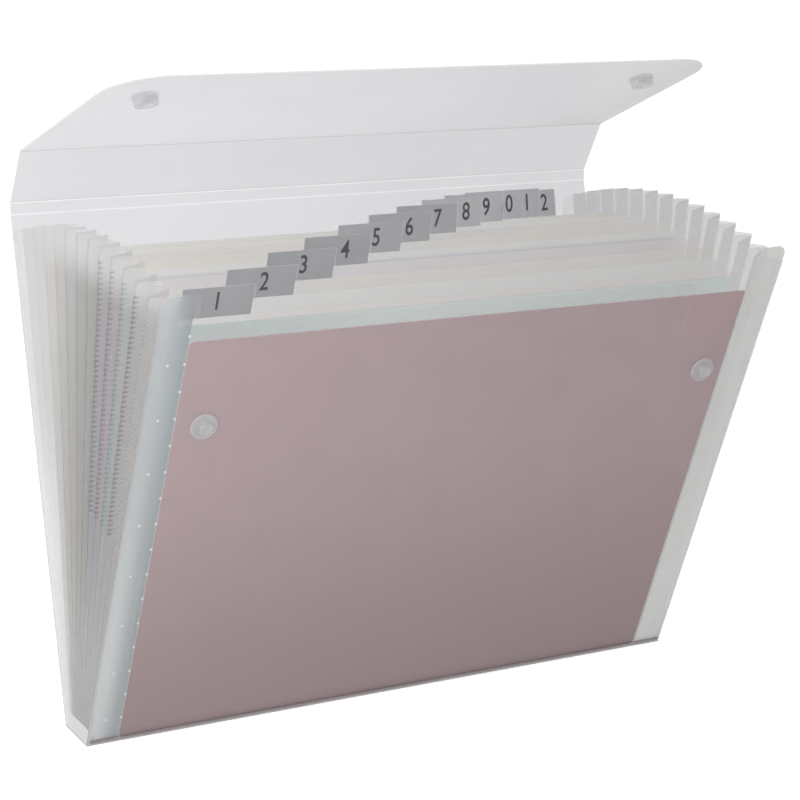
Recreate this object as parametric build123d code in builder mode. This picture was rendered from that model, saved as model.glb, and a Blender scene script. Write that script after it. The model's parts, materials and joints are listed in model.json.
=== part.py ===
"""Expanding file for upright filing: a creased cover sheet with a folding flap, two pleated side
gussets, twelve tabbed dividers and the cards filed between them, standing fanned open.

Millimetres. The origin is the middle of the base's underside, +Z is up, the front cover faces -Y.
All panels turn about one line along X, the fan axis, which lies just above the base.
"""
import os
from math import cos, hypot, radians, sin, sqrt, tan

from build123d import *

# Bellows: panel 0 is the front cover, the last panel is the back cover, the dividers lie between
pocket_count = 13
closed_pitch = 2.4
fan_step = 2.73
axis_height = 11.4
foot_depth = 5.8

# Cover sheet
cover_width = 330.0
cover_thickness = 0.7
front_ear_height = 250.0
front_ear_width = 18.0
front_edge_drop = 17.0
front_corner_radius = 5.0
thumb_notch_width = 31.0
thumb_notch_depth = 30.0
back_crease_rise = 8.1

# Base strip
base_thickness = 0.7
base_corner_radius = 0.5

# Flap: a narrow hinge band, a spine and a front part, joined at creases
crease_relief = 0.45
band_length = 5.8
band_angle = 6.1
spine_length = 29.9
spine_angle = -24.7
flap_length = 115.7
flap_angle = -64.5
flap_taper = 4.2
flap_corner_radius = 26.0

# Side gussets
film_thickness = 0.3
film_length = 14.0
outer_fold_inset = 0.3
outer_land = 1.0
inner_land = 0.4
flange_width = 15.6
flange_gap = 0.1
gusset_foot_gap = 0.6

# Dividers
divider_thickness = 0.35
divider_edge_gap = 0.2
divider_ear_height = 240.9
divider_ear_width = 11.5
divider_edge_drop = 12.0
divider_corner_radius = 2.0

# Index tabs
first_tab_inset = 32.7
last_tab_inset = 46.2
front_tab_pitch = 27.0
label_width = 34.0
label_height = 14.5
label_thickness = 0.25
label_end_gap = 0.1
sleeve_width = 36.0
sleeve_leaf = 0.2
sleeve_lap = 5.5

# Filed cards
card_side_gap = 16.5
card_height = 219.8
card_thickness = 0.5
card_corner_radius = 2.0
card_gap = 0.3
card_foot_depth = 6.1
lilac_card_divider = 5
rose_card_divider = 9

# Press studs
stud_inset = 29.8
front_stud_drop = 51.1
flap_stud_reach = 82.3
stud_hole_radius = 2.1
stud_post_radius = 1.95
stud_bore_radius = 2.05
stud_post_reach = 0.9
stud_bore_depth = 1.0
stud_disc_radius = 6.5
stud_disc_thickness = 1.2
stud_edge_radius = 0.5
ball_neck_radius = 2.7
ball_neck_height = 0.4
ball_radius = 3.2
ball_height = 1.6
rivet_head_radius = 5.0
rivet_head_thickness = 0.5
socket_radius = 5.6
socket_height = 3.2
socket_mouth_radius = 3.4
socket_mouth_depth = 2.0

# All cuts run past the face they leave by this much
overrun = 5.0

# What follows from the sizes above
last_panel = pocket_count
middle_panel = pocket_count / 2
divider_numbers = range(1, pocket_count)
half_cover = cover_thickness / 2
half_divider = divider_thickness / 2
front_top = front_ear_height - axis_height
front_edge = front_top - front_edge_drop
divider_top = divider_ear_height - axis_height
back_top = divider_top + back_crease_rise
divider_edge = divider_top - divider_edge_drop
outer_fold_x = cover_width / 2 - outer_fold_inset
divider_width = 2 * (outer_fold_x - film_thickness / 2 - divider_edge_gap)
first_tab_x = first_tab_inset - cover_width / 2
tab_span = cover_width - first_tab_inset - last_tab_inset
tab_steps = len(divider_numbers) - 1
tab_pitch_drop = 2 * (tab_steps * front_tab_pitch - tab_span) / (tab_steps * (tab_steps - 1))
card_width = cover_width - 2 * card_side_gap
stud_x = cover_width / 2 - stud_inset
front_stud_rise = front_edge - front_stud_drop
flange_lift = half_cover + flange_gap + film_thickness / 2
front_card_lift = half_cover + rivet_head_thickness + card_gap + card_thickness / 2
divider_card_lift = half_divider + sleeve_leaf + card_gap + card_thickness / 2
stem = (Align.CENTER, Align.MIN)
sides = {"left": -1, "right": 1}

os.makedirs("parts", exist_ok=True)


def save(piece, name):
    """Label a finished piece and write it as one file."""
    piece.part.label = name
    export_step(piece.part, f"parts/{name}.step")


def lean(panel):
    """Lean of a panel from upright in degrees, positive towards the back."""
    return (panel - middle_panel) * fan_step


def leaning_plane(origin, angle):
    """Plane through a line along X: its x runs right, its y up the leaning sheet."""
    turn = radians(angle)
    return Plane(origin=origin, x_dir=(1, 0, 0), z_dir=(0, -cos(turn), sin(turn)))


def panel_plane(panel, lift=0.0):
    """Middle plane of a panel, or a plane that lies a lift behind it."""
    turn = radians(lean(panel))
    offset = (panel - middle_panel) * closed_pitch + lift
    return leaning_plane((0, offset * cos(turn), axis_height - offset * sin(turn)), lean(panel))


def panel_depth(panel, height, lift=0.0):
    """Y of a panel's plane at a height above the floor."""
    turn = radians(lean(panel))
    offset = (panel - middle_panel) * closed_pitch + lift
    return (offset + (height - axis_height) * sin(turn)) / cos(turn)


def thickened(points, thickness):
    """Closed outline of a thin sheet that follows the points, with mitred corners."""
    near_side = []
    far_side = []
    for index, (x, y) in enumerate(points):
        before = points[max(index - 1, 0)]
        after = points[min(index + 1, len(points) - 1)]
        steps = [(x - before[0], y - before[1]), (after[0] - x, after[1] - y)]
        normals = [(-dy / hypot(dx, dy), dx / hypot(dx, dy)) for dx, dy in steps if hypot(dx, dy) > 0]
        first, second = normals[0], normals[-1]
        scale = thickness / 2 / (1 + first[0] * second[0] + first[1] * second[1])
        shift = ((first[0] + second[0]) * scale, (first[1] + second[1]) * scale)
        near_side.append((x + shift[0], y + shift[1]))
        far_side.append((x - shift[0], y - shift[1]))
    return near_side + far_side[::-1]


# Base strip: the flat part of the cover sheet that the file stands on, between its two bottom creases
base_depth = 2 * panel_depth(last_panel, base_thickness, half_cover)
with BuildPart() as base_strip:
    with BuildSketch(Plane.XY):
        Rectangle(cover_width, base_depth)
    extrude(amount=base_thickness)
    long_edges = base_strip.edges().filter_by(Axis.X)
    fillet(long_edges.group_by(Axis.Z)[0], radius=base_corner_radius)
save(base_strip, "base_strip")


# Front cover: tall ears at both sides, a lower edge between them, and a thumb notch
with BuildPart() as front_cover:
    with BuildSketch(panel_plane(0)) as outline:
        with Locations((0, -foot_depth)):
            Rectangle(cover_width, front_top + foot_depth, align=stem)
        with Locations((0, front_edge)):
            Rectangle(
                cover_width - 2 * front_ear_width,
                front_edge_drop + overrun,
                align=stem,
                mode=Mode.SUBTRACT,
            )
        with Locations((cover_width / 2 - front_ear_width, front_edge - thumb_notch_depth)):
            Rectangle(
                thumb_notch_width,
                thumb_notch_depth + front_edge_drop,
                align=(Align.MAX, Align.MIN),
                mode=Mode.SUBTRACT,
            )
        fillet(outline.vertices().group_by(Axis.Y)[1:], radius=front_corner_radius)
        with Locations(*[(side * stud_x, front_stud_rise) for side in sides.values()]):
            Circle(stud_hole_radius, mode=Mode.SUBTRACT)
    extrude(amount=half_cover, both=True)
save(front_cover, "front_cover")


# Back cover: a plain sheet up to the lower crease
with BuildPart() as back_cover:
    with BuildSketch(panel_plane(last_panel)):
        with Locations((0, -foot_depth)):
            Rectangle(cover_width, back_top + foot_depth - crease_relief, align=stem)
    extrude(amount=half_cover, both=True)
save(back_cover, "back_cover")


# Flap: each part starts at a crease, where the sheet is pressed thin and bends
lower_crease = panel_plane(last_panel).from_local_coords((0, back_top, 0))
band_plane = leaning_plane(lower_crease, band_angle)
upper_crease = band_plane.from_local_coords((0, band_length, 0))
spine_plane = leaning_plane(upper_crease, spine_angle)
front_crease = spine_plane.from_local_coords((0, spine_length, 0))
flap_plane = leaning_plane(front_crease, flap_angle)

for strip_name, strip_plane, strip_length in (
    ("flap_hinge_band", band_plane, band_length),
    ("flap_spine", spine_plane, spine_length),
):
    with BuildPart() as strip:
        with BuildSketch(strip_plane):
            with Locations((0, crease_relief)):
                Rectangle(cover_width, strip_length - 2 * crease_relief, align=stem)
        extrude(amount=half_cover, both=True)
    save(strip, strip_name)

with BuildPart() as flap_front:
    with BuildSketch(flap_plane) as outline:
        with BuildLine():
            Polyline(
                (-cover_width / 2, crease_relief),
                (cover_width / 2, crease_relief),
                (cover_width / 2 - flap_taper, flap_length),
                (flap_taper - cover_width / 2, flap_length),
                close=True,
            )
        make_face()
        fillet(outline.vertices().group_by(Axis.Y)[-1], radius=flap_corner_radius)
        with Locations(*[(side * stud_x, flap_stud_reach) for side in sides.values()]):
            Circle(stud_hole_radius, mode=Mode.SUBTRACT)
    extrude(amount=half_cover, both=True)
save(flap_front, "flap_front")


# Side gussets: one pleated film each, folded out at the dividers and in between them
def fold_depth(height):
    """How far a pleat reaches inwards at a height, so that its film keeps its length."""
    half_pitch = closed_pitch / 2 + (height - axis_height) * tan(radians(fan_step / 2))
    return sqrt(film_length**2 - half_pitch**2)


def pleat_line(side, height):
    """Middle line of a gusset's film, seen from above at a height, from front to back."""
    outer_x = side * outer_fold_x
    inner_x = side * (outer_fold_x - fold_depth(height))
    flange_x = side * (outer_fold_x - flange_width)
    front_y = panel_depth(0, height, flange_lift)
    back_y = panel_depth(last_panel, height, -flange_lift)
    line = [(flange_x, front_y), (outer_x, front_y)]
    for pocket in range(pocket_count):
        inner_y = panel_depth(pocket + 1 / 2, height)
        line += [(inner_x, inner_y - inner_land / 2), (inner_x, inner_y + inner_land / 2)]
        if pocket + 1 in divider_numbers:
            outer_y = panel_depth(pocket + 1, height)
            line += [(outer_x, outer_y - outer_land / 2), (outer_x, outer_y + outer_land / 2)]
    return line + [(outer_x, back_y), (flange_x, back_y)]


gusset_foot = base_thickness + gusset_foot_gap
gusset_head = divider_ear_height + overrun
for side_name, side in sides.items():
    with BuildPart() as gusset:
        for level in (gusset_foot, gusset_head):
            with BuildSketch(Plane.XY.offset(level)):
                with BuildLine():
                    Polyline(*thickened(pleat_line(side, level), film_thickness), close=True)
                make_face()
        loft(ruled=True)
        with BuildSketch(Plane.YZ):
            with Locations((0, axis_height)):
                Circle(divider_top)
        extrude(amount=cover_width / 2, both=True, mode=Mode.INTERSECT)
    save(gusset, f"{side_name}_gusset")


# Dividers, each with a clear sleeve folded over its top edge and a label slip inside the sleeve
def tab_place(number):
    """X of a divider's tab: the tabs step to the right and stand closer together towards the back."""
    steps = number - 1
    return first_tab_x + steps * front_tab_pitch - steps * (steps - 1) / 2 * tab_pitch_drop


for number in divider_numbers:
    tag = f"{number:02d}"
    tab_x = tab_place(number)

    with BuildPart() as divider:
        with BuildSketch(panel_plane(number)) as outline:
            with Locations((0, -foot_depth)):
                Rectangle(divider_width, divider_top + foot_depth, align=stem)
            with Locations((0, divider_edge)):
                Rectangle(
                    divider_width - 2 * divider_ear_width,
                    divider_edge_drop + overrun,
                    align=stem,
                    mode=Mode.SUBTRACT,
                )
            fillet(outline.vertices().group_by(Axis.Y)[1:], radius=divider_corner_radius)
        extrude(amount=half_divider, both=True)
    save(divider, f"divider_{tag}")

    with BuildPart() as sleeve:
        with BuildSketch(panel_plane(number)):
            with Locations((tab_x, divider_edge - sleeve_lap)):
                Rectangle(
                    sleeve_width,
                    sleeve_lap + label_height + 2 * label_end_gap + sleeve_leaf,
                    align=stem,
                )
        extrude(amount=half_divider + sleeve_leaf, both=True)
        with BuildSketch(panel_plane(number)):
            with Locations((tab_x, divider_edge - sleeve_lap - overrun)):
                Rectangle(
                    sleeve_width + overrun,
                    overrun + sleeve_lap + label_height + 2 * label_end_gap,
                    align=stem,
                )
        extrude(amount=half_divider, both=True, mode=Mode.SUBTRACT)
    save(sleeve, f"tab_sleeve_{tag}")

    with BuildPart() as label:
        with BuildSketch(panel_plane(number)):
            with Locations((tab_x, divider_edge + label_end_gap)):
                Rectangle(label_width, label_height, align=stem)
        extrude(amount=label_thickness / 2, both=True)
    save(label, f"tab_label_{tag}")


# Filed cards: one behind the front cover, the others behind dividers
for card_name, panel, lift in (
    ("filed_card_pink", 0, front_card_lift),
    ("filed_card_teal", 1, divider_card_lift),
    ("filed_card_lilac", lilac_card_divider, divider_card_lift),
    ("filed_card_rose", rose_card_divider, divider_card_lift),
):
    with BuildPart() as card:
        with BuildSketch(panel_plane(panel, lift)):
            with Locations((0, -card_foot_depth)):
                RectangleRounded(card_width, card_height, card_corner_radius, align=stem)
        extrude(amount=card_thickness / 2, both=True)
    save(card, card_name)


# Press studs: ball studs on the front cover, sockets under the flap, each held by a riveted cap
def seat_on(sheet, x, y, lift):
    """Plane parallel to a sheet, centred on a point that lies a lift in front of it."""
    return Plane(origin=sheet.from_local_coords((x, y, lift)), x_dir=sheet.x_dir, z_dir=sheet.z_dir)


def flipped(seat):
    """The same seat, seen from the other side of the sheet."""
    return Plane(origin=seat.origin, x_dir=seat.x_dir, z_dir=-seat.z_dir)


def rivet(seat, head_radius, head_thickness):
    """Disc on a seat, with a post that runs back through the sheet."""
    with BuildPart() as cap:
        with BuildSketch(seat):
            Circle(head_radius)
        extrude(amount=head_thickness)
        fillet(cap.edges().sort_by(Axis(seat.origin, seat.z_dir))[-1], radius=head_thickness / 2)
        with BuildSketch(seat):
            Circle(stud_post_radius)
        extrude(amount=-(cover_thickness + stud_post_reach))
    return cap


def ball_stud(seat):
    """Disc with a waisted ball on it and a blind bore behind for the rivet's post."""
    section = Plane(origin=seat.origin, x_dir=seat.x_dir, z_dir=-seat.y_dir)
    neck_top = stud_disc_thickness + ball_neck_height
    crown = neck_top + ball_height
    with BuildPart() as stud:
        with BuildSketch(section):
            with BuildLine():
                Polyline(
                    (0, crown),
                    (0, 0),
                    (stud_disc_radius, 0),
                    (stud_disc_radius, stud_disc_thickness),
                    (ball_neck_radius, stud_disc_thickness),
                    (ball_neck_radius, neck_top),
                )
                Spline(
                    (ball_neck_radius, neck_top),
                    (ball_radius, neck_top + ball_height / 2),
                    (0, crown),
                    tangents=((1, 1), (-1, 0)),
                )
            make_face()
        revolve(axis=Axis(seat.origin, seat.z_dir))
        rim = stud.edges().filter_by(GeomType.CIRCLE).sort_by(SortBy.RADIUS)[-2:]
        fillet(rim.sort_by(Axis(seat.origin, seat.z_dir))[-1], radius=stud_edge_radius)
        with BuildSketch(seat):
            Circle(stud_bore_radius)
        extrude(amount=stud_bore_depth, mode=Mode.SUBTRACT)
    return stud


def socket(seat):
    """Ring with a mouth for the ball and a blind bore behind for the rivet's post."""
    with BuildPart() as ring:
        with BuildSketch(seat):
            Circle(socket_radius)
        extrude(amount=socket_height)
        fillet(ring.edges().sort_by(Axis(seat.origin, seat.z_dir))[-1], radius=stud_edge_radius)
        with BuildSketch(seat.offset(socket_height - socket_mouth_depth)):
            Circle(socket_mouth_radius)
        extrude(amount=socket_mouth_depth, mode=Mode.SUBTRACT)
        with BuildSketch(seat):
            Circle(stud_bore_radius)
        extrude(amount=stud_bore_depth, mode=Mode.SUBTRACT)
    return ring


for side_name, side in sides.items():
    front_seat = seat_on(panel_plane(0), side * stud_x, front_stud_rise, half_cover)
    inner_seat = flipped(seat_on(panel_plane(0), side * stud_x, front_stud_rise, -half_cover))
    under_seat = seat_on(flap_plane, side * stud_x, flap_stud_reach, half_cover)
    upper_seat = flipped(seat_on(flap_plane, side * stud_x, flap_stud_reach, -half_cover))
    save(ball_stud(front_seat), f"front_stud_{side_name}")
    save(rivet(inner_seat, rivet_head_radius, rivet_head_thickness), f"front_stud_rivet_{side_name}")
    save(socket(under_seat), f"flap_socket_{side_name}")
    save(rivet(upper_seat, stud_disc_radius, stud_disc_thickness), f"flap_stud_cap_{side_name}")
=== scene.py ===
# %% [markdown]
# # Accordion file folder
# A translucent expanding file stands fanned open: a creased cover sheet with a folding flap, pleated
# film at both sides, twelve dividers with numbered tabs, and coloured cards in some of the pockets.
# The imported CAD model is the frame. It already holds every sheet at its size and place, so this
# script gives those sheets their finish and models what a CAD solid can't show well.

# %% Load the frame
import json
from math import atan, cos, degrees, radians, sin, sqrt, tan

import bmesh
import bpy
from mathutils import Matrix, Vector

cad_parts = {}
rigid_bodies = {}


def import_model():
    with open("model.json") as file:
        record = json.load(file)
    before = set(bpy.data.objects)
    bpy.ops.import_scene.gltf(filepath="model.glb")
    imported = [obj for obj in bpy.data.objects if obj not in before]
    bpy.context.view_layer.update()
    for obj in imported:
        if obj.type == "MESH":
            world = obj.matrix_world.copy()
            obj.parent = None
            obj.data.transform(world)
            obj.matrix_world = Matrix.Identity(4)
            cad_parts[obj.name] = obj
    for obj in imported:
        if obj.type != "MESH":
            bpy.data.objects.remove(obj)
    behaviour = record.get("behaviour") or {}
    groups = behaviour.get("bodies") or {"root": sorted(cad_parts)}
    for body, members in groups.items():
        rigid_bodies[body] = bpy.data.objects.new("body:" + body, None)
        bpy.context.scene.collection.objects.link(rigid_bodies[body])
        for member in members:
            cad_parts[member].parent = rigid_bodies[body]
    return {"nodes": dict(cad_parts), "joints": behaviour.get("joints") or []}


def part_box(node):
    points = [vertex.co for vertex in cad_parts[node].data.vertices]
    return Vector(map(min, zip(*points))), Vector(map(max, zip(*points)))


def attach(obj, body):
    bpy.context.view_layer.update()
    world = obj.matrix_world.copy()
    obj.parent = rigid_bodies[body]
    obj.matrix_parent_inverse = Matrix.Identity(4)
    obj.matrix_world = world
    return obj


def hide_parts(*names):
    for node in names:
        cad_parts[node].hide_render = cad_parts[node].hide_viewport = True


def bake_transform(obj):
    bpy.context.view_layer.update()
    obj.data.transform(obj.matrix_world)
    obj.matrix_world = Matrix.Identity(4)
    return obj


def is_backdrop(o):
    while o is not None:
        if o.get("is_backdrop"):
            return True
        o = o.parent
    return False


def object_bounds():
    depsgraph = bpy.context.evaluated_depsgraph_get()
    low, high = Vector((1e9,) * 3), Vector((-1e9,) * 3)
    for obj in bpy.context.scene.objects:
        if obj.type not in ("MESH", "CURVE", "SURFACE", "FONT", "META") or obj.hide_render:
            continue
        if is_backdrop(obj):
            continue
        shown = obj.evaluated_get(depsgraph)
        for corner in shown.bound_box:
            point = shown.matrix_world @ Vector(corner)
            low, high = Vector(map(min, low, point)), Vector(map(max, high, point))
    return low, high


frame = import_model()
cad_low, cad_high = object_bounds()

nodes = frame["nodes"]
joints = {joint["name"]: joint for joint in frame["joints"]}

# %% [markdown]
# ## The fan
# All panels of the file turn about one line along X, just above the base. The record gives that line,
# the angle of one pocket and the number of pockets, so the plane of any panel can be worked out. Panel
# 0 is the front cover, panels 1 to 12 are the dividers, panel 13 is the back cover, and a half number
# is the middle plane of a pocket. Working in a panel's own plane keeps all the later modelling flat.

# %% Planes of the fan
MM = 0.001
fan_axis = Vector(joints["bellows"]["pos_m"])
fan_step = radians(joints["pocket_01_fold"]["range_deg"][1])
pocket_count = sum(name.startswith("pocket_") for name in joints)
middle_panel = pocket_count / 2
back_panel = pocket_count
closed_pitch = 2.4 * MM


def sheet_matrix(origin, lean):
    """Plane of a leaning sheet: x runs right, y runs up the sheet, z points to the front."""
    return Matrix.Translation(origin) @ Matrix.Rotation(radians(90) - lean, 4, "X")


def panel_lean(panel):
    """Angle of a panel from upright, positive towards the back."""
    return (panel - middle_panel) * fan_step


def panel_matrix(panel, lift=0.0):
    """Plane of a panel, or a plane that lies a lift behind it."""
    lean = panel_lean(panel)
    offset = (panel - middle_panel) * closed_pitch + lift
    return sheet_matrix(fan_axis + Vector((0, offset * cos(lean), -offset * sin(lean))), lean)


def leaf(panel):
    """Name of the body that a panel belongs to."""
    return {0: "front_leaf", back_panel: "back_leaf"}.get(panel, f"leaf_{panel:02d}")


print("pockets:", pocket_count, "of", round(degrees(fan_step), 2), "degrees each")

# %% [markdown]
# ## Camera
# The photograph was taken from the front left with a long lens, a little above the tabs. A camera fit
# of the sheet's corners gave the angles and the distance. The small roll comes from a camera that was
# not held quite level. A Track To constraint could aim the camera but knows no roll, so the camera's
# three axes are worked out instead. The image is square, so the sensor's width sets the field of view.

# %% Camera
view_azimuth = radians(-30.86)
view_elevation = radians(16.1)
view_roll = radians(2.94)
view_distance = 1125.0 * MM
view_target = Vector((0, -5.78, 150.06)) * MM
focal_pixels = 2308.2
image_pixels = 800
sensor_width = 36.0

back = Vector((
    sin(view_azimuth) * cos(view_elevation),
    -cos(view_azimuth) * cos(view_elevation),
    sin(view_elevation),
))
right = (-back).cross(Vector((0, 0, 1))).normalized()
up = right.cross(-back)
rolled_right = right * cos(view_roll) + up * sin(view_roll)
rolled_up = up * cos(view_roll) - right * sin(view_roll)

camera_data = bpy.data.cameras.new("camera")
camera = bpy.data.objects.new("camera", camera_data)
bpy.context.scene.collection.objects.link(camera)
camera_data.sensor_width = sensor_width
camera_data.lens = sensor_width * focal_pixels / image_pixels
turn = Matrix((rolled_right, rolled_up, back)).transposed()
camera.matrix_world = Matrix.Translation(view_target + back * view_distance) @ turn.to_4x4()
bpy.context.scene.camera = camera
print("lens:", round(camera_data.lens, 1), "mm")

# %% [markdown]
# ## Colours and nodes
# Colours are written as sRGB hex values, as they would be picked from a picture, and one function
# turns them to the linear values that shaders use. A second small function adds a node, sets it up
# and links it, so that each material below reads as a list of what it is made of.

# %% Colour and node helpers


def linear(code):
    """Linear colour with alpha 1 from an sRGB hex value such as #C8C8C8, by the sRGB curve."""
    shares = [int(code[place:place + 2], 16) / 255 for place in (1, 3, 5)]
    return [s / 12.92 if s <= 0.04045 else ((s + 0.055) / 1.055) ** 2.4 for s in shares] + [1.0]


def add_node(tree, kind, sockets=None, **settings):
    """Add a node, set its settings, then fill its sockets with values or with links."""
    made = tree.nodes.new(kind)
    for name, value in settings.items():
        setattr(made, name, value)
    for name, value in (sockets or {}).items():
        if isinstance(value, bpy.types.NodeSocket):
            tree.links.new(value, made.inputs[name])
        else:
            made.inputs[name].default_value = value
    return made


def new_material(name):
    """A new material, with its node tree and its Principled shader."""
    material = bpy.data.materials.new(name)
    material.use_nodes = True
    tree = material.node_tree
    return material, tree, tree.nodes["Principled BSDF"]


print("mid grey is", [round(value, 3) for value in linear("#808080")[:3]])

# %% [markdown]
# ## Floor and light
# The photograph is a product shot on pure white. Strong lamps could burn the floor out to white, but
# they would wash out the file as well. So the world and the floor are white only for rays that come
# straight from the camera, or by way of gloss or glass, and the background doesn't flood the file with
# light. The floor still takes the file's shadow. The light itself is soft: a pale sky from all sides,
# a lamp at the front left and a large one high behind the file.

# %% World
sky_strength = 0.49
sheets_in_line = 48


def seen_directly(tree):
    """1 for rays from the camera, also by way of gloss or glass, and 0 for stray light."""
    rays = add_node(tree, "ShaderNodeLightPath")
    mirrored = add_node(tree, "ShaderNodeMath", {0: rays.outputs["Is Camera Ray"],
                                                 1: rays.outputs["Is Glossy Ray"]}, operation="MAXIMUM")
    seen = add_node(tree, "ShaderNodeMath", {0: mirrored.outputs[0],
                                             1: rays.outputs["Is Transmission Ray"]}, operation="MAXIMUM")
    return seen.outputs[0]


world = bpy.data.worlds.new("studio")
bpy.context.scene.world = world
world.use_nodes = True
tree = world.node_tree
tree.nodes.clear()
sky = add_node(tree, "ShaderNodeBackground", {"Color": linear("#FFFFFF"), "Strength": sky_strength})
white = add_node(tree, "ShaderNodeBackground", {"Color": linear("#FFFFFF"), "Strength": 1.0})
mixed = add_node(tree, "ShaderNodeMixShader", {0: seen_directly(tree), 1: sky.outputs[0],
                                               2: white.outputs[0]})
add_node(tree, "ShaderNodeOutputWorld", {"Surface": mixed.outputs[0]})
bpy.context.scene.view_settings.view_transform = "Standard"
# A ray crosses two faces in each sheet that it passes
bpy.context.scene.cycles.transparent_max_bounces = 2 * sheets_in_line
print("sky strength", sky_strength, "and white for the camera")

# %% Floor
floor_width = 12.0
floor_cloud = 300 * MM
floor_glow = 0.75
bpy.ops.object.select_all(action="DESELECT")
bpy.ops.mesh.primitive_plane_add(size=floor_width, location=(0, 0, 0))
floor = bpy.context.active_object
floor.name = "floor"
# Matt painted board: it has no shine, and it glows just enough to look white
material, tree, shader = new_material("matt_white_floor")
place = add_node(tree, "ShaderNodeTexCoord")
grit = add_node(tree, "ShaderNodeTexNoise", {"Vector": place.outputs["Object"],
                                             "Scale": 1 / floor_cloud})
tone = add_node(tree, "ShaderNodeMix", {0: grit.outputs[0], 6: linear("#C2C2C2"),
                                        7: linear("#C8C8C8")}, data_type="RGBA")
tree.links.new(tone.outputs[2], shader.inputs["Base Color"])
shader.inputs["Roughness"].default_value = 0.9
shader.inputs["Specular IOR Level"].default_value = 0.1
lift = add_node(tree, "ShaderNodeMath", {0: seen_directly(tree), 1: floor_glow}, operation="MULTIPLY")
glow = add_node(tree, "ShaderNodeEmission", {"Color": linear("#FFFFFF"), "Strength": lift.outputs[0]})
both = add_node(tree, "ShaderNodeAddShader", {0: shader.outputs[0], 1: glow.outputs[0]})
tree.links.new(both.outputs[0], tree.nodes["Material Output"].inputs["Surface"])
floor.data.materials.append(material)
floor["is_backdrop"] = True
print("floor:", floor.dimensions.x, "m wide")

# %% Lamps
# Place and width in metres, power in watts
lamps = {
    "key_lamp": ((-0.6, -0.75, 0.32), 0.5, 4.2),
    "back_lamp": ((-0.3, 1.5, 1.2), 1.4, 12.0),
}
for name, (place, width, power) in lamps.items():
    lamp_data = bpy.data.lights.new(name, "AREA")
    lamp_data.size = width
    lamp_data.energy = power
    lamp = bpy.data.objects.new(name, lamp_data)
    bpy.context.scene.collection.objects.link(lamp)
    lamp.location = place
    lamp.rotation_euler = (view_target - Vector(place)).to_track_quat("-Z", "Y").to_euler()
print("lamps:", ", ".join(lamps))

# %% [markdown]
# ## Sheet finishes
# Nearly everything here is thin sheet or film, so one function builds those finishes. Polypropylene
# sheet is cast against a textured roll, which leaves a fine matt grain, and it is cloudy: the tint
# drifts slowly across the sheet. Light gathers in the flat of the sheet and leaves at its cut edges, so
# the edges are painted with a tint of their own, mostly a lighter one: a painted glow. A face is an
# edge when it doesn't look along the sheet's own facing. Fades along an axis of the object can be laid
# over the tint, and the finishes below use them mostly for painted shade and painted light.
# Transmission could let the light through, but it is slow and grainy through this many layers, so a
# constant Alpha does it. Each sheet has two faces and hides more than one face's Alpha says. The grain
# is really finer than a pixel and is drawn at about a millimetre.

# %% Sheet finish
cloud_low, cloud_high = 0.3, 0.7
flat_share, edge_share = 0.8, 0.5
gloss_spread = 0.06
grain_strength = 0.012
plastic_ior = 1.49


def evenly(size):
    """Drift of one size along all three axes."""
    return (size, size, size)


def shade_along(tree, place, tint, far_tint, start, end, axis="Z"):
    """Fade a tint to another one along an axis of the object, between two places on it."""
    parts = add_node(tree, "ShaderNodeSeparateXYZ", {0: place.outputs["Object"]})
    fade = add_node(tree, "ShaderNodeMapRange", {"Value": parts.outputs[axis], "From Min": start,
                                                 "From Max": end}, interpolation_type="SMOOTHSTEP")
    return add_node(tree, "ShaderNodeMix", {0: fade.outputs[0], 6: tint.outputs[2], 7: linear(far_tint)},
                    data_type="RGBA")


def sheet_finish(name, pale, deep, edge, alpha, roughness, drift, grain, relief, facing=(0, 1, 0),
                 shades=()):
    """Plastic or card sheet: drifting tint, fine grain, fades, cut edges tinted mostly as a painted glow.
    """
    material, tree, shader = new_material(name)
    place = add_node(tree, "ShaderNodeTexCoord")
    drift_scale = [1 / size for size in drift]
    spread = add_node(tree, "ShaderNodeMapping", {"Vector": place.outputs["Object"],
                                                  "Scale": drift_scale})
    clouds = add_node(tree, "ShaderNodeTexNoise", {"Vector": spread.outputs[0], "Scale": 1.0,
                                                   "Detail": 3.0})
    fade = add_node(tree, "ShaderNodeMapRange", {"Value": clouds.outputs[0], "From Min": cloud_low,
                                                 "From Max": cloud_high})
    tint = add_node(tree, "ShaderNodeMix", {0: fade.outputs[0], 6: linear(pale), 7: linear(deep)},
                    data_type="RGBA")
    for shade in shades:
        tint = shade_along(tree, place, tint, *shade)
    along = add_node(tree, "ShaderNodeVectorMath", {0: place.outputs["Normal"], 1: facing},
                     operation="DOT_PRODUCT")
    flatness = add_node(tree, "ShaderNodeMath", {0: along.outputs["Value"]}, operation="ABSOLUTE")
    # Faces that don't look along the facing are cut edges and take the edge tint, mostly a painted glow
    rim = add_node(tree, "ShaderNodeMapRange", {"Value": flatness.outputs[0], "From Min": flat_share,
                                                "From Max": edge_share})
    colour = add_node(tree, "ShaderNodeMix", {0: rim.outputs[0], 6: tint.outputs[2], 7: linear(edge)},
                      data_type="RGBA")
    tree.links.new(colour.outputs[2], shader.inputs["Base Color"])
    pebble = add_node(tree, "ShaderNodeTexNoise", {"Vector": place.outputs["Object"],
                                                   "Scale": 1 / grain, "Detail": 2.0})
    gloss = add_node(tree, "ShaderNodeMapRange", {"Value": pebble.outputs[0],
                                                  "To Min": roughness - gloss_spread,
                                                  "To Max": roughness + gloss_spread})
    tree.links.new(gloss.outputs[0], shader.inputs["Roughness"])
    bump = add_node(tree, "ShaderNodeBump", {"Height": pebble.outputs[0], "Strength": grain_strength,
                                             "Distance": relief})
    tree.links.new(bump.outputs[0], shader.inputs["Normal"])
    shader.inputs["Alpha"].default_value = alpha
    shader.inputs["IOR"].default_value = plastic_ior
    return material


def finish_nodes(material, *names):
    """Give CAD nodes one material."""
    for name in names:
        nodes[name].data.materials.clear()
        nodes[name].data.materials.append(material)


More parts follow.
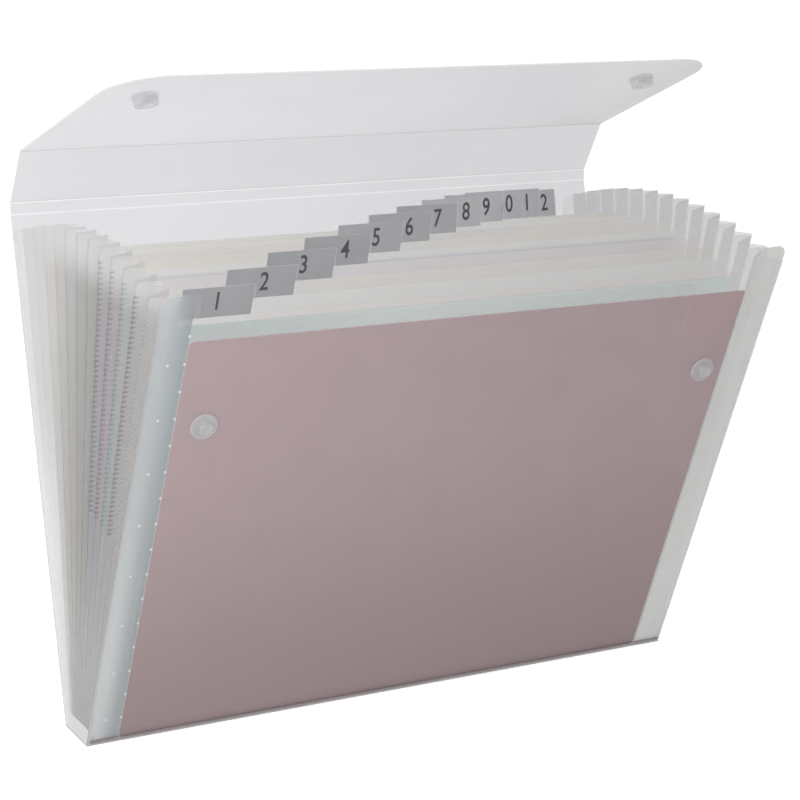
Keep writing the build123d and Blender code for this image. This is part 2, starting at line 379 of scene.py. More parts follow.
wide_drift = evenly(60 * MM)
tall_drift = (9 * MM, 9 * MM, 70 * MM)
print("drift of the sheets:", wide_drift[0] / MM, "mm")

# %% [markdown]
# ## Cover and flap
# The cover is one sheet of frosted polypropylene about 0.7 mm thick, faintly cool in tone. Its front
# and back look along Y, and its base looks up. The spine and the flap lean forwards, so their facing,
# which decides what counts as a cut edge, is worked out from the creases between them. One material
# could serve the whole cover, but the front lies on the cards and looks clearer, the base shows its
# edge and looks denser, and the flap is painted greyer towards its right end, as painted shade where
# less light falls, so each has its own. With a darker tint and less Alpha the render drew a faint line
# across the flap, so the flap is kept pale.

# %% Planes of the flap
lower_crease = Vector(joints["flap_lower_crease"]["pos_m"])
upper_crease = Vector(joints["flap_upper_crease"]["pos_m"])
front_crease = Vector(joints["flap_front_crease"]["pos_m"])
flap_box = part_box("flap_front")
free_edge = Vector((0, flap_box[0].y, flap_box[1].z))
flap_run = (free_edge - front_crease).normalized()
spine_run = (front_crease - upper_crease).normalized()
band_run = (upper_crease - lower_crease).normalized()
sideways = Vector((1, 0, 0))
half_width = (cad_high.x - cad_low.x) / 2
print("flap leans", round(degrees(atan(flap_run.z / -flap_run.y)), 1), "degrees above level")

# %% Cover materials
front_alpha = 0.07
cover_alpha = 0.4
base_alpha = 0.7
painted_shade_end = 50 * MM
# Frosted sheet: matt and cool, it lets only a hint of what lies behind it through
cover_look = dict(pale="#D4D4D9", deep="#CFCFD4", edge="#F0F0F2", roughness=0.42,
                  drift=wide_drift, grain=1.1 * MM, relief=0.01 * MM)
base_look = {**cover_look, "edge": "#A89D9D"}
flap_look = {**cover_look, "pale": "#EEEEF3", "deep": "#EAEAEF"}
# Painted shade: the flap's tint turns greyer towards its right end, where less light falls on it
flap_painted_shade = [("#DADADF", 0.0, half_width, "X"), ("#C4C7C9", half_width - painted_shade_end, half_width, "X")]
front_sheet = sheet_finish("frosted_polypropylene_front", alpha=front_alpha, **cover_look)
cover_sheet = sheet_finish("frosted_polypropylene_cover", alpha=cover_alpha, **cover_look)
base_sheet = sheet_finish("frosted_polypropylene_base", alpha=base_alpha, facing=(0, 0, 1), **base_look)
spine_sheet = sheet_finish("frosted_polypropylene_spine", alpha=cover_alpha,
                           facing=sideways.cross(spine_run), **cover_look)
flap_sheet = sheet_finish("frosted_polypropylene_flap", alpha=cover_alpha,
                          facing=sideways.cross(flap_run), shades=flap_painted_shade, **flap_look)
finish_nodes(front_sheet, "front_cover")
finish_nodes(cover_sheet, "back_cover", "flap_hinge_band")
finish_nodes(base_sheet, "base_strip")
finish_nodes(spine_sheet, "flap_spine")
finish_nodes(flap_sheet, "flap_front")
print("cover sheets: 6 in 5 materials")

# %% [markdown]
# ## Dividers, tabs and cards
# The dividers are thinner film, clearer than the cover. Stacked films pick up each other's colour, so
# three faint tints take turns. The sleeves over the tabs are clear and smooth. The label slips are grey
# card, painted paler towards the back as painted light, for the light that the rear slips miss. The
# filed cards are dyed through: pink, teal, lilac and rose, and the pink and the teal also carry painted
# shade and painted light. Materials could be made one by one, but these differ only in tint, so loops
# over short tables make them.

# %% Divider and tab materials
numbers = range(1, pocket_count)
# Clear film: satin, with a breath of colour
divider_shades = {
    "cream": ("#E7E5DA", "#E2E0D5", "#ECE7D2"),
    "blush": ("#E8E2DF", "#E3DDDA", "#EEE1E0"),
    "pearl": ("#E7E8E9", "#E2E3E5", "#EEEEF2"),
}
divider_films = [
    sheet_finish(f"clear_polypropylene_divider_{shade}", *hexes, alpha=0.3, roughness=0.34,
                 drift=wide_drift, grain=1.0 * MM, relief=0.03 * MM)
    for shade, hexes in divider_shades.items()
]
# Clear sleeve: almost nothing but its gloss
clear_sleeve = sheet_finish("clear_polypropylene_sleeve", "#E4E7EC", "#DCE0E6", "#FFFFFF", alpha=0.05,
                            roughness=0.16, drift=wide_drift, grain=2.0 * MM, relief=0.01 * MM)
# Grey card: flat and dull, painted paler from each of these numbers on, as painted light towards the back
painted_light_label_tints = {1: ("#A0A0A2", "#9A9A9C"), 5: ("#A8A8AA", "#A2A2A4"), 8: ("#BABABC", "#B4B4B6")}
label_cards = {
    first: sheet_finish(f"grey_label_card_{first:02d}", *hexes, edge="#C6C6C8", alpha=1.0, roughness=0.78,
                        drift=evenly(12 * MM), grain=0.5 * MM, relief=0.01 * MM)
    for first, hexes in painted_light_label_tints.items()
}
for number in numbers:
    finish_nodes(divider_films[number % len(divider_films)], f"divider_{number:02d}")
    first = max(first for first in label_cards if first <= number)
    finish_nodes(label_cards[first], f"tab_label_{number:02d}")
finish_nodes(clear_sleeve, *[f"tab_sleeve_{number:02d}" for number in numbers])
print("dividers:", len(numbers), "in", len(divider_films), "tints")

# %% Card materials
# Dyed card: soft, matt and even; painted shade darkens the pink towards its foot, and painted light
# brightens the teal from its left end towards the middle
card_shades = {
    "pink": ("#BCA3A5", "#B79EA0", "#D6C3C6"),
    "teal": ("#9DBBB9", "#99B7B5", "#BEDAD8"),
    "lilac": ("#C6C2CC", "#C0BBC6", "#D5D0DE"),
    "rose": ("#CEC4C4", "#C8BEBF", "#DDD0D2"),
}
# Painted shade on the pink card and painted light on the teal one
painted_card_fades = {
    "pink": [("#A68D8C", 160 * MM, 0.0)],
    "teal": [("#CEE6E3", -150 * MM, -20 * MM, "X")],
}
for shade, hexes in card_shades.items():
    dyed = sheet_finish(f"dyed_{shade}_card", *hexes, alpha=1.0, roughness=0.62,
                        drift=evenly(25 * MM), grain=0.6 * MM, relief=0.004 * MM,
                        shades=painted_card_fades.get(shade, ()))
    finish_nodes(dyed, f"filed_card_{shade}")
print("cards:", len(card_shades))

# %% [markdown]
# ## Press studs
# The studs are moulded in natural polypropylene: milky, a little glossy, and denser than the sheet.
# Their shapes come from the CAD model, so they only need a finish. Subsurface scattering could make
# them milky, but in pieces this small the sheet's own finish, with more gloss, is enough.

# %% Stud material
# Moulded plastic: smooth enough for small soft highlights
stud_plastic = sheet_finish("moulded_polypropylene_stud", "#DEDDDE", "#D5D5D7", "#ECEDEF", alpha=0.36,
                            roughness=0.24, drift=evenly(6 * MM), grain=1.5 * MM, relief=0.02 * MM)
stud_nodes = [name for name in nodes if "stud" in name or "socket" in name]
finish_nodes(stud_plastic, *stud_nodes)
print("stud pieces:", len(stud_nodes))

# %% [markdown]
# ## Tools for modelling
# These few functions start a piece from a primitive, select its points by place, and put a finished
# piece where it belongs. A piece's place goes into its mesh, and its object stays at the origin, so a
# pattern on object coordinates lies on every piece as it does on the CAD sheets.

# %% Modelling helpers


def named(name):
    """Name the object that an operator has just made."""
    piece = bpy.context.active_object
    piece.name = name
    piece.data.name = name
    return piece


def only(piece):
    """Select one object and make it active."""
    bpy.ops.object.select_all(action="DESELECT")
    piece.select_set(True)
    bpy.context.view_layer.objects.active = piece


def strip(name, size, middle):
    """Flat strip of a width and a height, with its middle at a place in its own plane."""
    bpy.ops.object.select_all(action="DESELECT")
    bpy.ops.mesh.primitive_plane_add(size=1)
    piece = named(name)
    piece.scale = (*size, 1)
    piece.location = (*middle, 0)
    only(piece)
    bpy.ops.object.transform_apply(location=True, rotation=True, scale=True)
    return piece


def pick(piece, kind, test):
    """In edit mode, select the vertices, edges or faces whose corners pass a test."""
    mesh = bmesh.from_edit_mesh(piece.data)
    bpy.ops.mesh.select_all(action="DESELECT")
    chosen = {"VERT": mesh.verts, "EDGE": mesh.edges, "FACE": mesh.faces}[kind]
    for element in chosen:
        corners = [element.co] if kind == "VERT" else [corner.co for corner in element.verts]
        element.select = test(corners)
    mesh.select_mode = {kind}
    mesh.select_flush_mode()
    bmesh.update_edit_mesh(piece.data)


def round_corners(piece, radius, segments, test):
    """Round those corners of a flat piece whose place passes a test."""
    bpy.ops.object.mode_set(mode="EDIT")
    pick(piece, "VERT", lambda corners: test(corners[0]))
    bpy.ops.mesh.bevel(offset=radius, segments=segments, affect="VERTICES")
    bpy.ops.object.mode_set(mode="OBJECT")


def apply_modifier(piece, kind, **settings):
    """Add a modifier, set it up and apply it."""
    modifier = piece.modifiers.new(kind.lower(), kind)
    for name, value in settings.items():
        setattr(modifier, name, value)
    only(piece)
    bpy.ops.object.modifier_apply(modifier=modifier.name)


def repeat_up(piece, low, high, pitch):
    """Repeat a piece up its own plane, as often as the pitch fits between two heights."""
    apply_modifier(piece, "ARRAY", count=int((high - low) / pitch) + 1, use_relative_offset=False,
                   use_constant_offset=True, constant_offset_displace=(0, pitch, 0))


def put(piece, matrix):
    """Move a piece to its place, keep that place in its mesh, and point its faces outwards."""
    only(piece)
    piece.matrix_world = matrix
    bpy.ops.object.transform_apply(location=True, rotation=True, scale=True)
    bpy.ops.object.mode_set(mode="EDIT")
    bpy.ops.mesh.select_all(action="SELECT")
    bpy.ops.mesh.normals_make_consistent(inside=False)
    bpy.ops.object.mode_set(mode="OBJECT")


def twin(piece, name):
    """Copy of a piece, with its own mesh."""
    made = piece.copy()
    made.data = piece.data.copy()
    made.name = name
    made.data.name = name
    bpy.context.scene.collection.objects.link(made)
    return made


sides = {"left": -1, "right": 1}
print("helpers ready, for the sides", " and ".join(sides))

# %% [markdown]
# ## Pleats
# Each side of the file is closed by one film that folds out at every divider and in between them. A
# single mesh couldn't follow thirteen joints, so each pocket gets its own length of film at each side,
# which ends at the two dividers. It starts as a grid with one column of points for each fold. The
# columns are moved to the folds, the film is cut into rows, slackened a little with a cloud texture and
# then given its thickness.

# %% Sizes of the pleats
film_thickness = 0.3 * MM
film_length = 14.0 * MM
outer_land = 1.0 * MM
inner_land = 0.4 * MM
outer_fold_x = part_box("right_gusset")[1].x - film_thickness / 2
gusset_foot_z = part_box("right_gusset")[0].z
middle_divider = 7
middle_divider_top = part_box(f"divider_{middle_divider:02d}")[1].z
divider_top = (middle_divider_top - fan_axis.z) / cos(panel_lean(middle_divider))


def half_pitch(rise):
    """Half the width of a pocket at a rise above the fan axis."""
    return closed_pitch / 2 + rise * tan(fan_step / 2)


def foot_rise(pocket):
    """Rise of the gusset's foot in the middle plane of a pocket."""
    plane = panel_matrix(pocket + 0.5)
    return (gusset_foot_z - plane.translation.z) / cos(panel_lean(pocket + 0.5))


def fold_columns(rise):
    """Places of the film's folds at a rise: how far inwards, and how far to the front."""
    half = half_pitch(rise)
    depth = sqrt(film_length**2 - half**2)
    near = [(0, half), (0, half - outer_land / 2), (depth, inner_land / 2)]
    return near + [(inwards, -front) for inwards, front in reversed(near)]


print("outer folds at", round(outer_fold_x / MM, 2), "mm, dividers", round(divider_top / MM, 1), "mm tall")

# %% [markdown]
# ## Finish of the pleats
# The film of the pleats is clear, and its folds lie close together, so what stands in the pockets tints
# it. The cards could be left to do this alone, but light wanders far less between the films here than
# between real ones. So each left pleat has a painted tint for its middle, the cards' colour darkened as
# painted shade, most of all in the front pockets, and a paler one for its foot as painted light, which
# turns white in the rear pockets. The right pleats show only their upper ends in the photograph and
# share one film.

# %% Materials of the pleats
# Middle tints of the left pleats: the cards' colour, darkened as painted shade
card_and_shade_tints = ["#9EA3A0", "#9A8E91", "#8F9C9C", "#948C99", "#898187", "#818887", "#8C8A8B",
              "#9A9896", "#A5A3A0", "#B4B3B1", "#C4C4C3", "#CECECE", "#D6D6D6"]
# Foot tints: paler, as painted light, and white in the rear pockets
painted_light_foot_tints = ["#B2B4B2"] * 9 + ["#CECDCC", "#F0F0F0", "#FFFFFF", "#FFFFFF"]
# Fold edges of the front pockets are darker, as painted shade
painted_shade_edge, pale_edge = "#BCBCBE", "#DADADC"
shaded_edge_pockets = 8
far_pockets = 3
far_alpha = 0.15
core_fade = (234 * MM, 214 * MM)
low_fade = (110 * MM, 30 * MM)
far_fade = (170 * MM, 80 * MM)
# Welded film: smooth and clear, with a drift that is drawn out along the folds
gusset_look = dict(alpha=0.26, roughness=0.3, drift=tall_drift, grain=1.4 * MM, relief=0.02 * MM)
clear_film = sheet_finish("welded_polypropylene_film", pale="#DADADC", deep="#D4D4D6", edge="#DADADD",
                          **{**gusset_look, "alpha": 0.42})
core_films = []
for pocket, (core, low) in enumerate(zip(card_and_shade_tints, painted_light_foot_tints)):
    far = pocket >= pocket_count - far_pockets
    look = {**gusset_look, "alpha": far_alpha} if far else gusset_look
    shades = [(core, *core_fade), (low, *(far_fade if far else low_fade))]
    core_films.append(sheet_finish(f"welded_polypropylene_pleat_{pocket + 1:02d}", pale="#D6D6D8",
                                   deep="#CDCDD0", edge=painted_shade_edge if pocket < shaded_edge_pockets else pale_edge,
                                   shades=shades, **look))
pleat_films = {"left": core_films, "right": [clear_film] * pocket_count}
print("films for the left pleats:", len(core_films))

# %% Model the pleats
slack = 0.9 * MM
fold_spans = 5
row_cuts = 14
wall_cuts = 3
fold_angle = radians(35)
film_texture = bpy.data.textures.new("film_slack", "CLOUDS")
film_texture.noise_scale = 26 * MM


def pleat(name, pocket, side):
    """Film of one pocket at one side, modelled in the pocket's middle plane."""
    low, high = foot_rise(pocket), divider_top * cos(fan_step / 2)
    bpy.ops.object.select_all(action="DESELECT")
    bpy.ops.mesh.primitive_grid_add(x_subdivisions=fold_spans, y_subdivisions=1, size=1)
    piece = named(name)
    places = fold_columns(low), fold_columns(high)
    for vertex in piece.data.vertices:
        column = round((vertex.co.x + 0.5) * fold_spans)
        top = vertex.co.y > 0
        inwards, front = places[top][column]
        vertex.co = (side * (outer_fold_x - inwards), high if top else low, front)
    bpy.ops.object.mode_set(mode="EDIT")
    pick(piece, "EDGE", lambda ends: abs(ends[0].y - ends[1].y) > high / 2)
    bpy.ops.mesh.subdivide(number_cuts=row_cuts)
    pick(piece, "EDGE", lambda ends: abs(ends[0].x - ends[1].x) > film_length / 3)
    bpy.ops.mesh.subdivide(number_cuts=wall_cuts)
    bpy.ops.object.mode_set(mode="OBJECT")
    loose = piece.vertex_groups.new(name="loose")
    for vertex in piece.data.vertices:
        inwards = outer_fold_x - abs(vertex.co.x)
        share = min(1.0, inwards / film_length) * max(0.0, vertex.co.y / high)
        loose.add([vertex.index], share, "REPLACE")
    apply_modifier(piece, "DISPLACE", texture=film_texture, strength=2 * slack, mid_level=0.5,
                   vertex_group="loose", direction="Z", texture_coords="LOCAL")
    apply_modifier(piece, "SOLIDIFY", thickness=film_thickness, offset=0.0)
    put(piece, panel_matrix(pocket + 0.5))
    only(piece)
    bpy.ops.object.shade_smooth_by_angle(angle=fold_angle)
    return piece


for side_name, side in sides.items():
    for pocket in range(pocket_count):
        film = pleat(f"{side_name}_pleat_{pocket + 1:02d}", pocket, side)
        film.data.materials.append(pleat_films[side_name][pocket])
        plane = panel_matrix(pocket + 0.5)
        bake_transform(film)
        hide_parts(f"{side_name}_gusset")
print("pleats:", pocket_count * len(sides))

# %% [markdown]
# ## Flanges
# At the front and the back the gusset's film ends in a flat flange that is welded to the cover's inner
# face. Each could be part of the last pleat, but it stays flat on its cover while the pleat bends, so
# it is a strip of its own: a plane, scaled, with its upper corners rounded by a bevel and the sheet
# thickened. The front flanges show through the clear cover, so each has a film of its own.

# %% Materials of the flanges
# Painted light: both front flanges turn paler towards their foot; the left one also darkens towards its
# inner edge
painted_light_foot_fade = (180 * MM, 20 * MM)
inner_fade = (-162 * MM, -149 * MM, "X")
# Welded flange: film on sheet, so it looks whiter and denser than either
flange_look = dict(edge="#E4E8E8", roughness=0.3, drift=tall_drift, grain=1.4 * MM, relief=0.02 * MM)
front_films = {
    "left": sheet_finish("welded_polypropylene_left_flange", pale="#D3D8DA", deep="#CDD2D4", alpha=0.52,
                         shades=[("#ECF0F0", *painted_light_foot_fade), ("#98A3A4", *inner_fade)], **flange_look),
    "right": sheet_finish("welded_polypropylene_right_flange", pale="#EEEFEA", deep="#E8E9E4", alpha=0.66,
                          shades=[("#FCFDF8", *painted_light_foot_fade)], **flange_look),
}
back_film = sheet_finish("welded_polypropylene_back_flange", pale="#F8F8FA", deep="#F2F2F4", alpha=0.34,
                         **flange_look)
print("films for the flanges:", len(front_films) + 1)

# %% Model the flanges
flange_width = 15.6 * MM
flange_lift = 0.6 * MM
flange_foot = -5.0 * MM
inner_radius = 6 * MM
outer_radius = 4.5 * MM
corner_segments = 4
margin = 1 * MM
front_top = (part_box("front_cover")[1].z - panel_matrix(0).translation.z) / cos(panel_lean(0))


def flange(name, side_name, panel, top, lift, film):
    """Flat strip of film behind a cover's edge."""
    middle_x = outer_fold_x - flange_width / 2
    middle = (sides[side_name] * middle_x, (top + flange_foot) / 2)
    piece = strip(name, (flange_width, top - flange_foot), middle)
    round_corners(piece, inner_radius, corner_segments,
                  lambda corner: corner.y > top / 2 and abs(corner.x) < middle_x)
    round_corners(piece, outer_radius, corner_segments,
                  lambda corner: corner.y > top / 2 and abs(corner.x) > outer_fold_x - margin)
    apply_modifier(piece, "SOLIDIFY", thickness=film_thickness, offset=0.0)
    put(piece, panel_matrix(panel, lift))
    piece.data.materials.append(film)
    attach(piece, leaf(panel))
    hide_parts(f"{side_name}_gusset")


for side_name, front_film in front_films.items():
    flange(f"{side_name}_front_flange", side_name, 0, front_top - margin, flange_lift, front_film)
    flange(f"{side_name}_back_flange", side_name, back_panel, divider_top, -flange_lift, back_film)
print("flanges: 4, each", flange_width / MM, "mm wide")

# %% [markdown]
# ## Ends of the base
# Under the pleats the film is folded in and pressed against the end of the base, where it shows as a
# small pale block. The real folds lie flat on each other and can't be told apart, so one sheet stands
# for them: a plane with its corners moved to the two covers, its top corners rounded and the sheet
# thickened. It stays with the base, just outside the pleats, so they can move behind it.

# %% Model the ends of the base
end_height = 9.0 * MM
end_gap = 0.1 * MM
end_radius = 2 * MM
# Folded film: several layers, so it is nearly white
end_film = sheet_finish("folded_polypropylene_film", pale="#FCFCFE", deep="#F6F6F8", edge="#FCFCFE",
                        alpha=0.6, roughness=0.3, drift=evenly(12 * MM), grain=1.4 * MM, relief=0.03 * MM,
                        facing=(1, 0, 0))


def cover_reach(height):
    """How far the inner face of the opened back cover lies behind the middle, at a height."""
    lean = panel_lean(back_panel)
    offset = middle_panel * closed_pitch - flange_lift
    return (offset + (height - fan_axis.z) * sin(lean)) / cos(lean)


def base_end(name, side_name):
    """Film over one end of the base, below the pleats."""
    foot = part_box("base_strip")[1].z + end_gap
    bpy.ops.object.select_all(action="DESELECT")
    bpy.ops.mesh.primitive_plane_add(size=1)
    piece = named(name)
    for vertex in piece.data.vertices:
        height = end_height if vertex.co.y > 0 else foot
        reach = cover_reach(height) if vertex.co.x > 0 else -cover_reach(height)
        vertex.co = (sides[side_name] * (outer_fold_x + film_thickness / 2 + end_gap), reach, height)
    round_corners(piece, end_radius, corner_segments, lambda corner: corner.z > end_height / 2)
    apply_modifier(piece, "SOLIDIFY", thickness=film_thickness / 2, offset=0.0)
    put(piece, Matrix.Identity(4))
    piece.data.materials.append(end_film)
    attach(piece, "base")
    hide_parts(f"{side_name}_gusset")


for side_name in sides:
    base_end(f"{side_name}_base_end", side_name)
print("base ends: 2, each", end_height / MM, "mm tall")

# %% [markdown]
# ## Weld dots
# Hot pins weld the flange to the cover from outside. Each leaves a shallow round dimple with a raised
# ring, paler than the sheet. A bump pattern could draw them, but it would leave the mesh bare. So one
# dot is modelled as a short cylinder with an inset, sunken top, and an array modifier repeats it: in a
# close column near the flange's inner edge and in a sparser one further out.

# %% Model the weld dots
weld_radius = 0.7 * MM
weld_height = 0.06 * MM
weld_corners = 12
weld_foot = 8 * MM
weld_top = divider_top - 10 * MM
# Inset from the outer folds, and pitch
weld_columns = {"inner": (15.0 * MM, 14.0 * MM), "outer": (7.0 * MM, 28.0 * MM)}
cover_half = 0.35 * MM
outwards = {0: -1, back_panel: 1}
# Welded spot: the plastic has melted and turned white
weld_mark = sheet_finish("whitened_weld_mark", "#F4F6F8", "#ECEEF1", "#FAFBFC", alpha=0.5,
                         roughness=0.35, drift=evenly(4 * MM), grain=0.8 * MM, relief=0.02 * MM)


def weld_dots(name, side, panel, inset, pitch):
    """Column of weld dots on the outer face of a cover, along one of its side edges."""
    bpy.ops.object.select_all(action="DESELECT")
    bpy.ops.mesh.primitive_cylinder_add(vertices=weld_corners, radius=weld_radius, depth=weld_height)
    piece = named(name)
    bpy.ops.object.mode_set(mode="EDIT")
    pick(piece, "FACE", lambda corners: min(corner.z for corner in corners) > 0)
    bpy.ops.mesh.inset(thickness=weld_radius / 3)
    bpy.ops.transform.translate(value=(0, 0, -weld_height / 2))
    bpy.ops.object.mode_set(mode="OBJECT")
    repeat_up(piece, weld_foot, weld_top, pitch)
    flip = Matrix.Identity(4) if panel == 0 else Matrix.Rotation(radians(180), 4, "Y")
    lift = outwards[panel] * (cover_half + weld_height / 2)
    place = Vector((side * (outer_fold_x - inset), weld_foot, 0))
    put(piece, panel_matrix(panel, lift) @ Matrix.Translation(place) @ flip)
    piece.data.materials.append(weld_mark)
    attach(piece, leaf(panel))


for side_name, side in sides.items():
    for column, (inset, pitch) in weld_columns.items():
        weld_dots(f"{side_name}_front_welds_{column}", side, 0, inset, pitch)
        weld_dots(f"{side_name}_back_welds_{column}", side, back_panel, inset, pitch)
print("weld columns:", len(outwards) * len(sides) * len(weld_columns))

# %% [markdown]
# ## Ladder welds
# The upper part of each divider is welded into its outer folds with a row of short bars, like the rungs
# of a ladder. One rung is a cube, scaled to its size and rounded by a bevel. An array repeats it up the
# divider, and each divider's two rows are copies with their own mesh. The real rungs are finer, and
# these are as coarse as they need to be to show in the render.

# %% Materials of the ladder welds
# Pressed weld: dull, and tinted on the left by the cards behind the film
rung_look = dict(roughness=0.4, drift=evenly(30 * MM), grain=0.8 * MM, relief=0.01 * MM)
rung_tints = {1: ("#B7C0BE", "#B1BAB8"), 2: ("#65595D", "#5F5357"), 3: ("#728989", "#6C8383"),
              4: ("#716673", "#6B606D"), 5: ("#7F7880", "#79727A")}
faint_mark = sheet_finish("faint_weld_mark", "#DADBDE", "#D2D3D7", "#DADBDE", alpha=0.12, **rung_look)
rung_marks = {
    number: sheet_finish(f"pressed_weld_mark_{number:02d}", pale, deep, edge=pale, alpha=0.5, **rung_look)
    for number, (pale, deep) in rung_tints.items()
}
print("tinted rung marks:", len(rung_marks))

# %% Model the ladder welds
rung_pitch = 2.4 * MM
rung_size = (2.2 * MM, 1.0 * MM, 0.7 * MM)
rung_bevel = 0.2 * MM
rung_low = 105 * MM
rung_high = divider_top - 6 * MM
bpy.ops.object.select_all(action="DESELECT")
bpy.ops.mesh.primitive_cube_add(size=1)
rungs = named("rungs")
rungs.scale = rung_size
only(rungs)
bpy.ops.object.transform_apply(location=True, rotation=True, scale=True)
bpy.ops.object.mode_set(mode="EDIT")
bpy.ops.mesh.select_all(action="SELECT")
bpy.ops.mesh.bevel(offset=rung_bevel, segments=1, affect="EDGES")
bpy.ops.object.mode_set(mode="OBJECT")
repeat_up(rungs, rung_low, rung_high, rung_pitch)
for number in numbers:
    for side_name, side in sides.items():
        ladder = twin(rungs, f"{side_name}_ladder_{number:02d}")
        place = Vector((side * (outer_fold_x - rung_size[0] / 2 + film_thickness), rung_low, 0))
        put(ladder, panel_matrix(number) @ Matrix.Translation(place))
        ladder.data.materials.append(rung_marks.get(number, faint_mark) if side < 0 else faint_mark)
        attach(ladder, leaf(number))
bpy.data.objects.remove(rungs)
print("ladders:", len(sides) * len(numbers))

# %% [markdown]
# ## Creases of the flap
# Where the cover bends into the flap, the sheet is pressed thin and turns white, and the white line is
# partly a painted highlight. A white line in the cover's material could show it, but the plates on
# either side part as the flap turns. So each crease is a strip that starts on one plate and ends on the
# next. It is a grid whose columns of points are moved along both plates and rounded where they meet.

# %% Model the creases
crease_reach = 0.44 * MM
crease_thickness = 0.7 * MM
crease_round = crease_reach / 4
crease_segments = 3
crease_shares = (-1, -0.45, 0, 0.45, 1)
crease_angle = radians(40)
back_run = Vector((0, sin(panel_lean(back_panel)), cos(panel_lean(back_panel))))
# Pressed sheet: thin and whitened, most of all in the sharpest bend; the white line is partly a painted
# highlight
crease_look = dict(pale="#E8E8EC", deep="#E2E2E6", edge="#E8E8EC", roughness=0.38, drift=evenly(30 * MM),
                   grain=0.9 * MM, relief=0.03 * MM)
sharp_crease = sheet_finish("pressed_polypropylene_sharp_crease", alpha=0.34, **crease_look)
soft_crease = sheet_finish("pressed_polypropylene_soft_crease", alpha=0.3, **crease_look)
round_crease = sheet_finish("pressed_polypropylene_round_crease", alpha=0.2, **crease_look)


def crease(name, corner, run_in, run_out, finish):
    """Strip of thin sheet across a crease, from the plate before it to the plate after it."""
    spans = len(crease_shares) - 1
    bpy.ops.object.select_all(action="DESELECT")
    bpy.ops.mesh.primitive_grid_add(x_subdivisions=spans, y_subdivisions=1, size=1)
    piece = named(name)
    places = [share * (run_in if share < 0 else run_out) for share in crease_shares]
    for vertex in piece.data.vertices:
        column = round((vertex.co.x + 0.5) * spans)
        side = 1 if vertex.co.y > 0 else -1
        vertex.co = corner + places[column] * crease_reach + Vector((side * half_width, 0, 0))
    bpy.ops.object.mode_set(mode="EDIT")
    pick(piece, "EDGE", lambda ends: abs(ends[0].x - ends[1].x) > half_width
         and (ends[0] - Vector((ends[0].x, corner.y, corner.z))).length < crease_round)
    bpy.ops.mesh.bevel(offset=crease_round, segments=crease_segments, affect="EDGES")
    bpy.ops.object.mode_set(mode="OBJECT")
    apply_modifier(piece, "SOLIDIFY", thickness=crease_thickness, offset=0.0)
    put(piece, Matrix.Identity(4))
    only(piece)
    bpy.ops.object.shade_smooth_by_angle(angle=crease_angle)
    piece.data.materials.append(finish)
    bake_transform(piece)


crease("lower_crease_strip", lower_crease, back_run, band_run, sharp_crease)
crease("upper_crease_strip", upper_crease, band_run, spine_run, soft_crease)
crease("front_crease_strip", front_crease, spine_run, flap_run, round_crease)
print("crease strips: 3")

# %% [markdown]
# ## Creases at the foot
# The cover's front and back meet the base at a crease as well. It is pressed from outside and shows as
# one narrow dull line along the foot of each cover; in front the line is dark, a painted shade along the
# crease. The covers' feet rise a little as the file shuts, so no strip joins them to the base. Each line
# is a plane, scaled to its size, with its ends rounded by a bevel and the sheet thickened, and it lies
# on the outer face of its cover.

# %% Model the creases at the foot
foot_crease_height = 2.4 * MM
foot_crease_thickness = 0.08 * MM
foot_crease_radius = 0.4 * foot_crease_height
cover_foot = -5.8 * MM
# Pressed line in front: dull and dark as painted shade, and warm where the pink card stands behind it
front_foot = sheet_finish("pressed_polypropylene_front_foot_shade", "#8F807F", "#877877", "#8F807F", alpha=0.34,
                          roughness=0.4, drift=evenly(40 * MM), grain=0.9 * MM, relief=0.01 * MM)
back_foot = sheet_finish("pressed_polypropylene_back_foot", alpha=0.3, **crease_look)


def foot_crease(name, panel, finish):
    """Narrow pressed line along the foot of a cover, on its outer face."""
    width = 2 * (half_width - margin)
    piece = strip(name, (width, foot_crease_height), (0, cover_foot + foot_crease_height / 2))
    round_corners(piece, foot_crease_radius, crease_segments, lambda corner: True)
    apply_modifier(piece, "SOLIDIFY", thickness=foot_crease_thickness, offset=0.0)
    put(piece, panel_matrix(panel, outwards[panel] * (cover_half + foot_crease_thickness)))
    piece.data.materials.append(finish)
    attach(piece, leaf(panel))


foot_crease("front_foot_crease", 0, front_foot)
foot_crease("back_foot_crease", back_panel, back_foot)
print("foot creases: 2, each", foot_crease_height / MM, "mm tall")

# %% [markdown]
# ## Numbers on the tabs
# The label slips carry the numbers 1 to 12 in black print. An image texture could hold them, but text
# stays sharp at any size. Each number is a text object, thickened slightly and turned into a mesh, then
# laid on its slip inside the clear sleeve. The tabs stand closer together towards the back, so there a
# number is shifted along its slip, to where it shows beside the tab in front of it.

# %% Ink
ink_mottle = 0.8 * MM
# Printing ink: black and dry, with a faint mottle where the card takes it unevenly
ink, ink_tree, ink_shader = new_material("black_print_ink")
place = add_node(ink_tree, "ShaderNodeTexCoord")
mottle = add_node(ink_tree, "ShaderNodeTexNoise", {"Vector": place.outputs["Object"],
                                                   "Scale": 1 / ink_mottle})
shade = add_node(ink_tree, "ShaderNodeMix", {0: mottle.outputs[0], 6: linear("#101012"),
                                             7: linear("#1A1A1C")}, data_type="RGBA")
ink_tree.links.new(shade.outputs[2], ink_shader.inputs["Base Color"])
ink_shader.inputs["Roughness"].default_value = 0.7
print("ink:", ink.name)

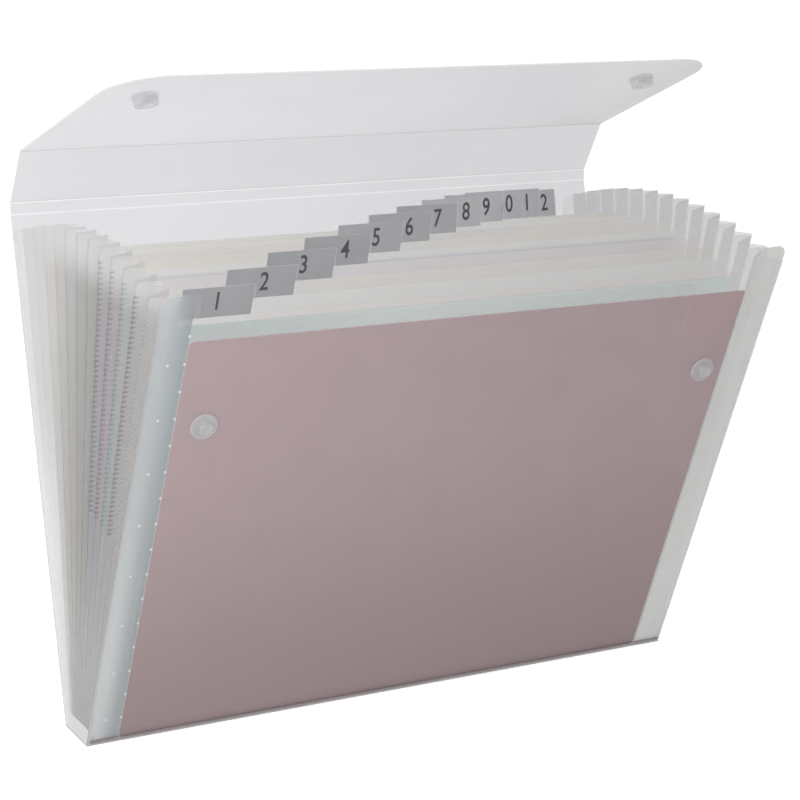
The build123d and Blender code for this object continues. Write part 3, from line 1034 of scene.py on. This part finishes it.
# %% Print the numbers
digit_height = 11.0 * MM
# Shift of each number along its slip, in millimetres
digit_shifts = (0.0, 1.7, 1.5, 4.5, 3.5, 5.4, 6.0, 8.5, 7.5, 7.0, 7.0, 7.8)
digit_stretch = (0.85, 1.12, 1.0)
stroke_gain = 0.15 * MM
ink_thickness = 0.02 * MM
ink_lift = 0.15 * MM
for number, shift in zip(numbers, digit_shifts):
    low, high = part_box(f"tab_label_{number:02d}")
    bpy.ops.object.select_all(action="DESELECT")
    bpy.ops.object.text_add()
    text = bpy.context.active_object
    text.data.body = str(number)
    text.data.size = digit_height
    text.data.align_x = "CENTER"
    text.data.align_y = "CENTER"
    text.data.extrude = ink_thickness / 2
    text.data.offset = stroke_gain
    bpy.ops.object.convert(target="MESH")
    digits = named(f"tab_number_{number:02d}")
    plane = panel_matrix(number, -ink_lift)
    spot = plane.inverted() @ ((low + high) / 2)
    put(digits, plane @ Matrix.Translation((spot.x + shift * MM, spot.y, 0))
        @ Matrix.Diagonal((*digit_stretch, 1.0)))
    digits.data.materials.append(ink)
    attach(digits, leaf(number))
print("numbers printed:", len(numbers))

# %% [markdown]
# ## Light through the film
# Thin polypropylene film scatters light onwards and hardly shades what lies behind it. A sheet with a
# constant Alpha would shade its neighbours far too much, fifty layers deep. So the films cast no shadow
# and don't take light from the sheets beside them, and nor do the cards and slips between them. The
# cover and the flap still shade the floor.

# %% Let light through the film
film_names = [name for name in nodes if name.startswith(("divider", "tab_", "filed_card"))]
film_words = ("pleat", "flange", "base_end", "ladder", "weld")
film_names += [name for name in bpy.data.objects.keys() if any(word in name for word in film_words)]
for name in film_names:
    film = nodes.get(name) or bpy.data.objects[name]
    film.visible_shadow = False
    film.visible_diffuse = False
print("films that let light through:", len(film_names))

# %% [markdown]
# ## Sizes
# The finished model's box is printed, in millimetres. The finished model has to stay inside
# the CAD model's box.

# %% Write the sizes
low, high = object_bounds()
print("visual box:", [round((b - a) / MM, 1) for a, b in zip(low, high)], "mm")
